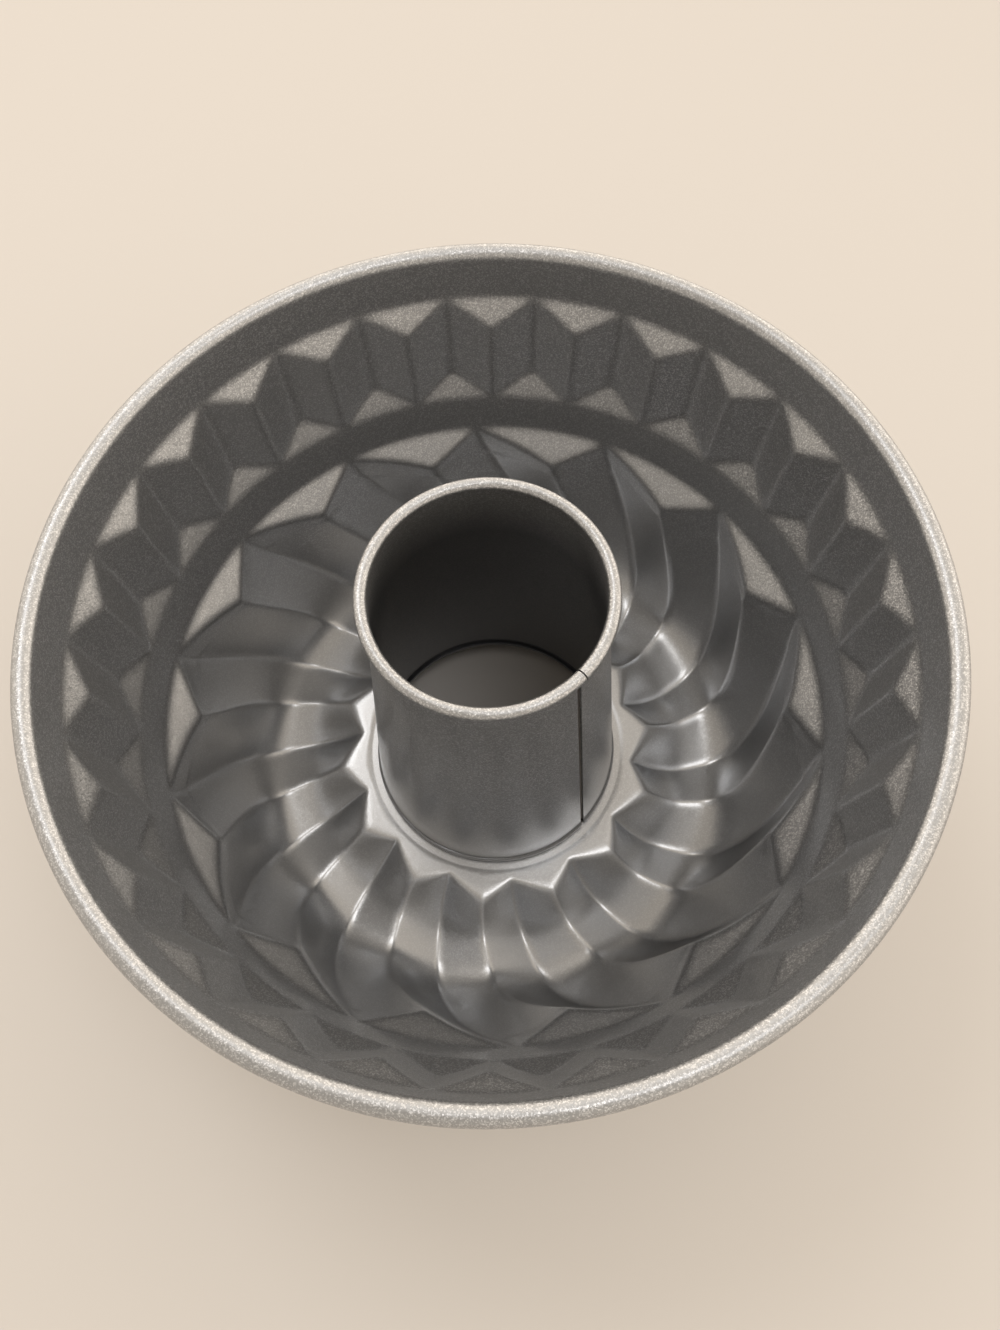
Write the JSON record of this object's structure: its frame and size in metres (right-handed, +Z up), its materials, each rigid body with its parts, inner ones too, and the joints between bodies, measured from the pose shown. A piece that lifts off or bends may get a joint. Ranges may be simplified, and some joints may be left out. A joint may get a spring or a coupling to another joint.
{
  "type": "fluted tube pan",
  "caption": "Round deep cake mould of coated sheet steel with faceted diamonds above spiral flutes, a curled rim and an open conical tube in the middle.",
  "frame": {"origin": "on the pan's axis, on the surface that the flutes stand on", "axes": "+Z up along the pan's axis, -Y towards the viewer of the picture, +X to the viewer's right"},
  "size_m": [0.2236, 0.2236, 0.1243],
  "materials": {
    "coated_steel": "satin"
  },
  "bodies": {
    "root": {"pan_body": "coated_steel", "centre_tube": "coated_steel"}
  },
  "joints": []
}
